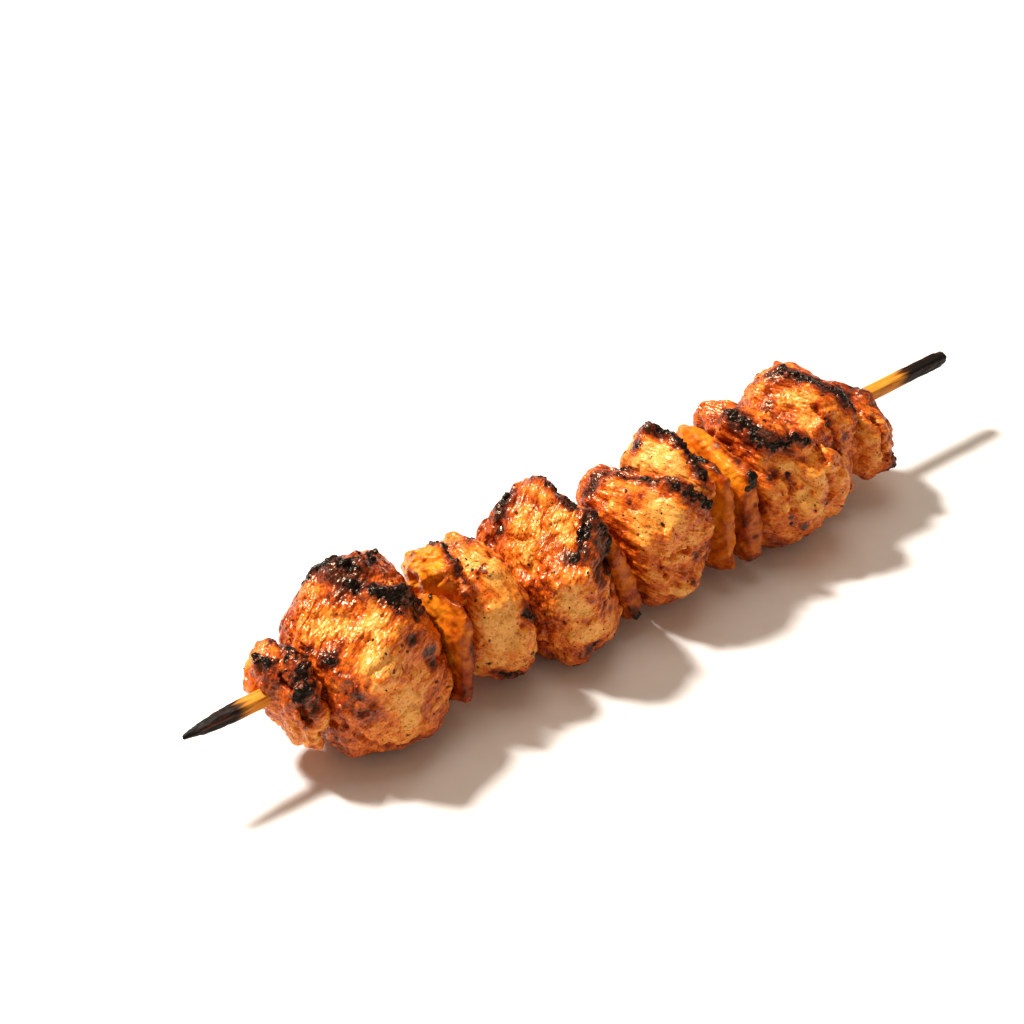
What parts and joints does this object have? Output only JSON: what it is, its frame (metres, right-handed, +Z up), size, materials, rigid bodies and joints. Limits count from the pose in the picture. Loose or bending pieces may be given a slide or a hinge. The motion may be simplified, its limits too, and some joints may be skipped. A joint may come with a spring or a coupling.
{
  "type": "chicken kebab skewer",
  "caption": "Grilled chicken kebab: browned, charred chunks of chicken with slices of orange sweet pepper, threaded on a square bamboo skewer and laid flat.",
  "frame": {"origin": "bottom centre of the bounding box: on the table, midway along the skewer and midway across the kebab", "axes": "+X along the skewer from its point to its blunt end, +Z up from the table, +Y across"},
  "size_m": [0.25, 0.0438, 0.0428],
  "materials": {
    "grilled_chicken": "moist roasted flesh, cream to orange, browned and charred on its ridges, with an oily gloss",
    "grilled_pepper": "smooth, wet and slightly wrinkled skin, orange with scorched rims",
    "burnt_bamboo": "oiled bamboo grain, charred black at both ends"
  },
  "bodies": {
    "root": {"skewer": "burnt_bamboo", "chicken_1": "grilled_chicken", "chicken_2": "grilled_chicken", "chicken_3": "grilled_chicken", "chicken_4": "grilled_chicken", "chicken_5": "grilled_chicken", "chicken_6": "grilled_chicken", "chicken_7": "grilled_chicken", "chicken_8": "grilled_chicken", "chicken_9": "grilled_chicken", "pepper_1": "grilled_pepper", "pepper_2": "grilled_pepper", "pepper_3": "grilled_pepper", "pepper_4": "grilled_pepper", "pepper_5": "grilled_pepper"}
  },
  "joints": []
}
